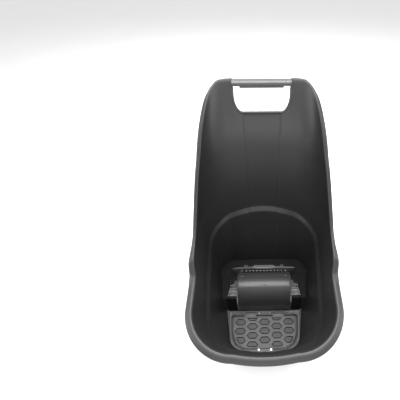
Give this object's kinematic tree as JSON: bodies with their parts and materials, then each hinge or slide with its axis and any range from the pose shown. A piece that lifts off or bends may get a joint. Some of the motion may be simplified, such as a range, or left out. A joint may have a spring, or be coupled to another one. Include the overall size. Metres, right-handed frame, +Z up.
{
  "type": "rolling garden tub",
  "caption": "Moulded plastic barrow tub with a tall back panel and hand grip, a wide floor roller under a guard, and a hinged honeycomb drain hatch.",
  "frame": {"origin": "on the ground, at the centre of the bounding box", "axes": "+Z up, +Y from the front lip towards the back panel and hand grip, +X to the right seen from the front"},
  "size_m": [0.502, 0.7151, 0.848],
  "materials": {
    "tub": "fine satin moulded polypropylene, dark grey",
    "grip": "satin moulded plastic",
    "grip_ridged": "satin plastic with fine cross ridges",
    "carrier": "satin mid grey moulded plastic",
    "shroud": "satin grey moulded plastic",
    "shelf": "satin dark grey moulded plastic",
    "guard": "glossy dark grey moulded plastic",
    "bracket": "light grey moulded plastic",
    "seal": "soft black rubber",
    "steel": "bright zinc plated steel",
    "screw": "zinc plated steel",
    "drum": "black moulded plastic",
    "tread": "grooved black rubber",
    "bush": "natural acetal",
    "spacer": "grey plastic tube"
  },
  "bodies": {
    "barrow": {"tub": "tub", "grip_core": "grip", "grip_upper": "grip_ridged", "grip_lower": "grip", "grip_screws": "screw", "carrier_frame": "carrier", "carrier_shelf": "shelf", "carrier_screws": "screw", "hinge_pin_left": "steel", "hinge_pin_right": "steel", "latch_screws": "screw", "roller_guard": "guard", "guard_screws": "screw", "rear_shroud": "shroud", "shroud_screws": "screw", "axle_bracket_left": "bracket", "axle_bracket_right": "bracket", "bracket_screws": "screw", "axle": "steel", "spacer_left": "spacer", "spacer_right": "spacer", "axle_cap_left": "drum", "axle_cap_right": "drum"},
    "roller": {"roller_drum_left": "drum", "roller_drum_right": "drum", "drum_screws": "screw", "roller_tread": "tread", "bush_left": "bush", "bush_right": "bush"},
    "hatch": {"hatch_lid": "carrier", "hatch_seal": "seal"},
    "latch": {"latch_slide": "carrier"}
  },
  "joints": [
    {"name": "roller_spin", "type": "hinge", "parent": "barrow", "child": "roller", "pos_m": [0, -0.01217, 0.08], "axis": [1, 0, 0], "continuous": true},
    {"name": "hatch_hinge", "type": "hinge", "parent": "barrow", "child": "hatch", "pos_m": [0, -0.11317, 0.0101], "axis": [-1, 0, 0], "range_deg": [0, 85]},
    {"name": "latch_slide", "type": "slide", "parent": "barrow", "child": "latch", "axis": [0, 1, 0], "range_m": [0, 0.006]}
  ]
}
